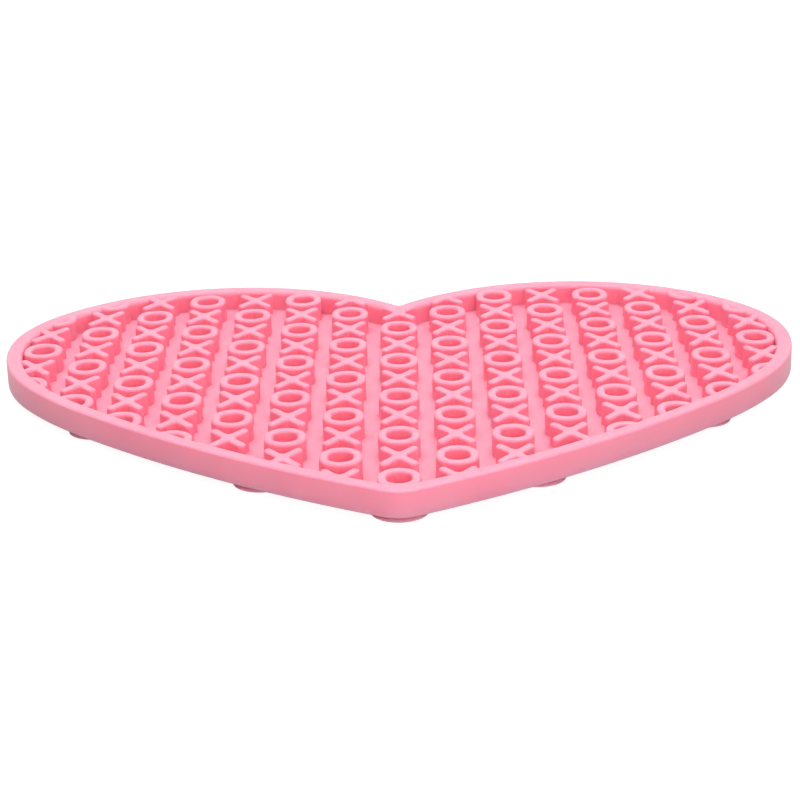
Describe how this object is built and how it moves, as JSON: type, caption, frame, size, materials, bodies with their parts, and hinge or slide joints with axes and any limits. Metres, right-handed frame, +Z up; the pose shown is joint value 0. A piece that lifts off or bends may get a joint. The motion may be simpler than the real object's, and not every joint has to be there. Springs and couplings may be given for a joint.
{
  "type": "lick mat",
  "caption": "Heart-shaped silicone lick mat: a shallow tray filled with raised rings and crosses, on small suction cups",
  "frame": {"origin": "middle of the mat's bounding box, on the surface that its suction cups stand on", "axes": "+X to the mat's right across its lobes, +Y from the tip towards the notch, +Z up"},
  "size_m": [0.231, 0.1736, 0.0095],
  "materials": {
    "mat_silicone": "satin moulded silicone",
    "cup_silicone": "smooth moulded silicone"
  },
  "bodies": {
    "mat": {"floor_sheet": "mat_silicone", "rim_wall": "mat_silicone", "ring_ridges": "mat_silicone", "cross_ridges": "mat_silicone"},
    "cup_tip": {"suction_cup_tip": "cup_silicone"},
    "cup_front_left": {"suction_cup_front_left": "cup_silicone"},
    "cup_front_right": {"suction_cup_front_right": "cup_silicone"},
    "cup_side_left": {"suction_cup_side_left": "cup_silicone"},
    "cup_side_right": {"suction_cup_side_right": "cup_silicone"},
    "cup_lobe_left": {"suction_cup_lobe_left": "cup_silicone"},
    "cup_lobe_right": {"suction_cup_lobe_right": "cup_silicone"},
    "cup_centre": {"suction_cup_centre": "cup_silicone"}
  },
  "joints": [
    {"name": "press_tip", "type": "slide", "parent": "mat", "child": "cup_tip", "axis": [0, 0, 1], "range_m": [0, 0.001], "stiffness_N_per_m": 100, "springref_m": -0.003, "deforming": ["suction_cup_tip"]},
    {"name": "press_front_left", "type": "slide", "parent": "mat", "child": "cup_front_left", "axis": [0, 0, 1], "range_m": [0, 0.001], "stiffness_N_per_m": 100, "springref_m": -0.003, "deforming": ["suction_cup_front_left"]},
    {"name": "press_front_right", "type": "slide", "parent": "mat", "child": "cup_front_right", "axis": [0, 0, 1], "range_m": [0, 0.001], "stiffness_N_per_m": 100, "springref_m": -0.003, "deforming": ["suction_cup_front_right"]},
    {"name": "press_side_left", "type": "slide", "parent": "mat", "child": "cup_side_left", "axis": [0, 0, 1], "range_m": [0, 0.001], "stiffness_N_per_m": 100, "springref_m": -0.003, "deforming": ["suction_cup_side_left"]},
    {"name": "press_side_right", "type": "slide", "parent": "mat", "child": "cup_side_right", "axis": [0, 0, 1], "range_m": [0, 0.001], "stiffness_N_per_m": 100, "springref_m": -0.003, "deforming": ["suction_cup_side_right"]},
    {"name": "press_lobe_left", "type": "slide", "parent": "mat", "child": "cup_lobe_left", "axis": [0, 0, 1], "range_m": [0, 0.001], "stiffness_N_per_m": 100, "springref_m": -0.003, "deforming": ["suction_cup_lobe_left"]},
    {"name": "press_lobe_right", "type": "slide", "parent": "mat", "child": "cup_lobe_right", "axis": [0, 0, 1], "range_m": [0, 0.001], "stiffness_N_per_m": 100, "springref_m": -0.003, "deforming": ["suction_cup_lobe_right"]},
    {"name": "press_centre", "type": "slide", "parent": "mat", "child": "cup_centre", "axis": [0, 0, 1], "range_m": [0, 0.001], "stiffness_N_per_m": 100, "springref_m": -0.003, "deforming": ["suction_cup_centre"]}
  ]
}
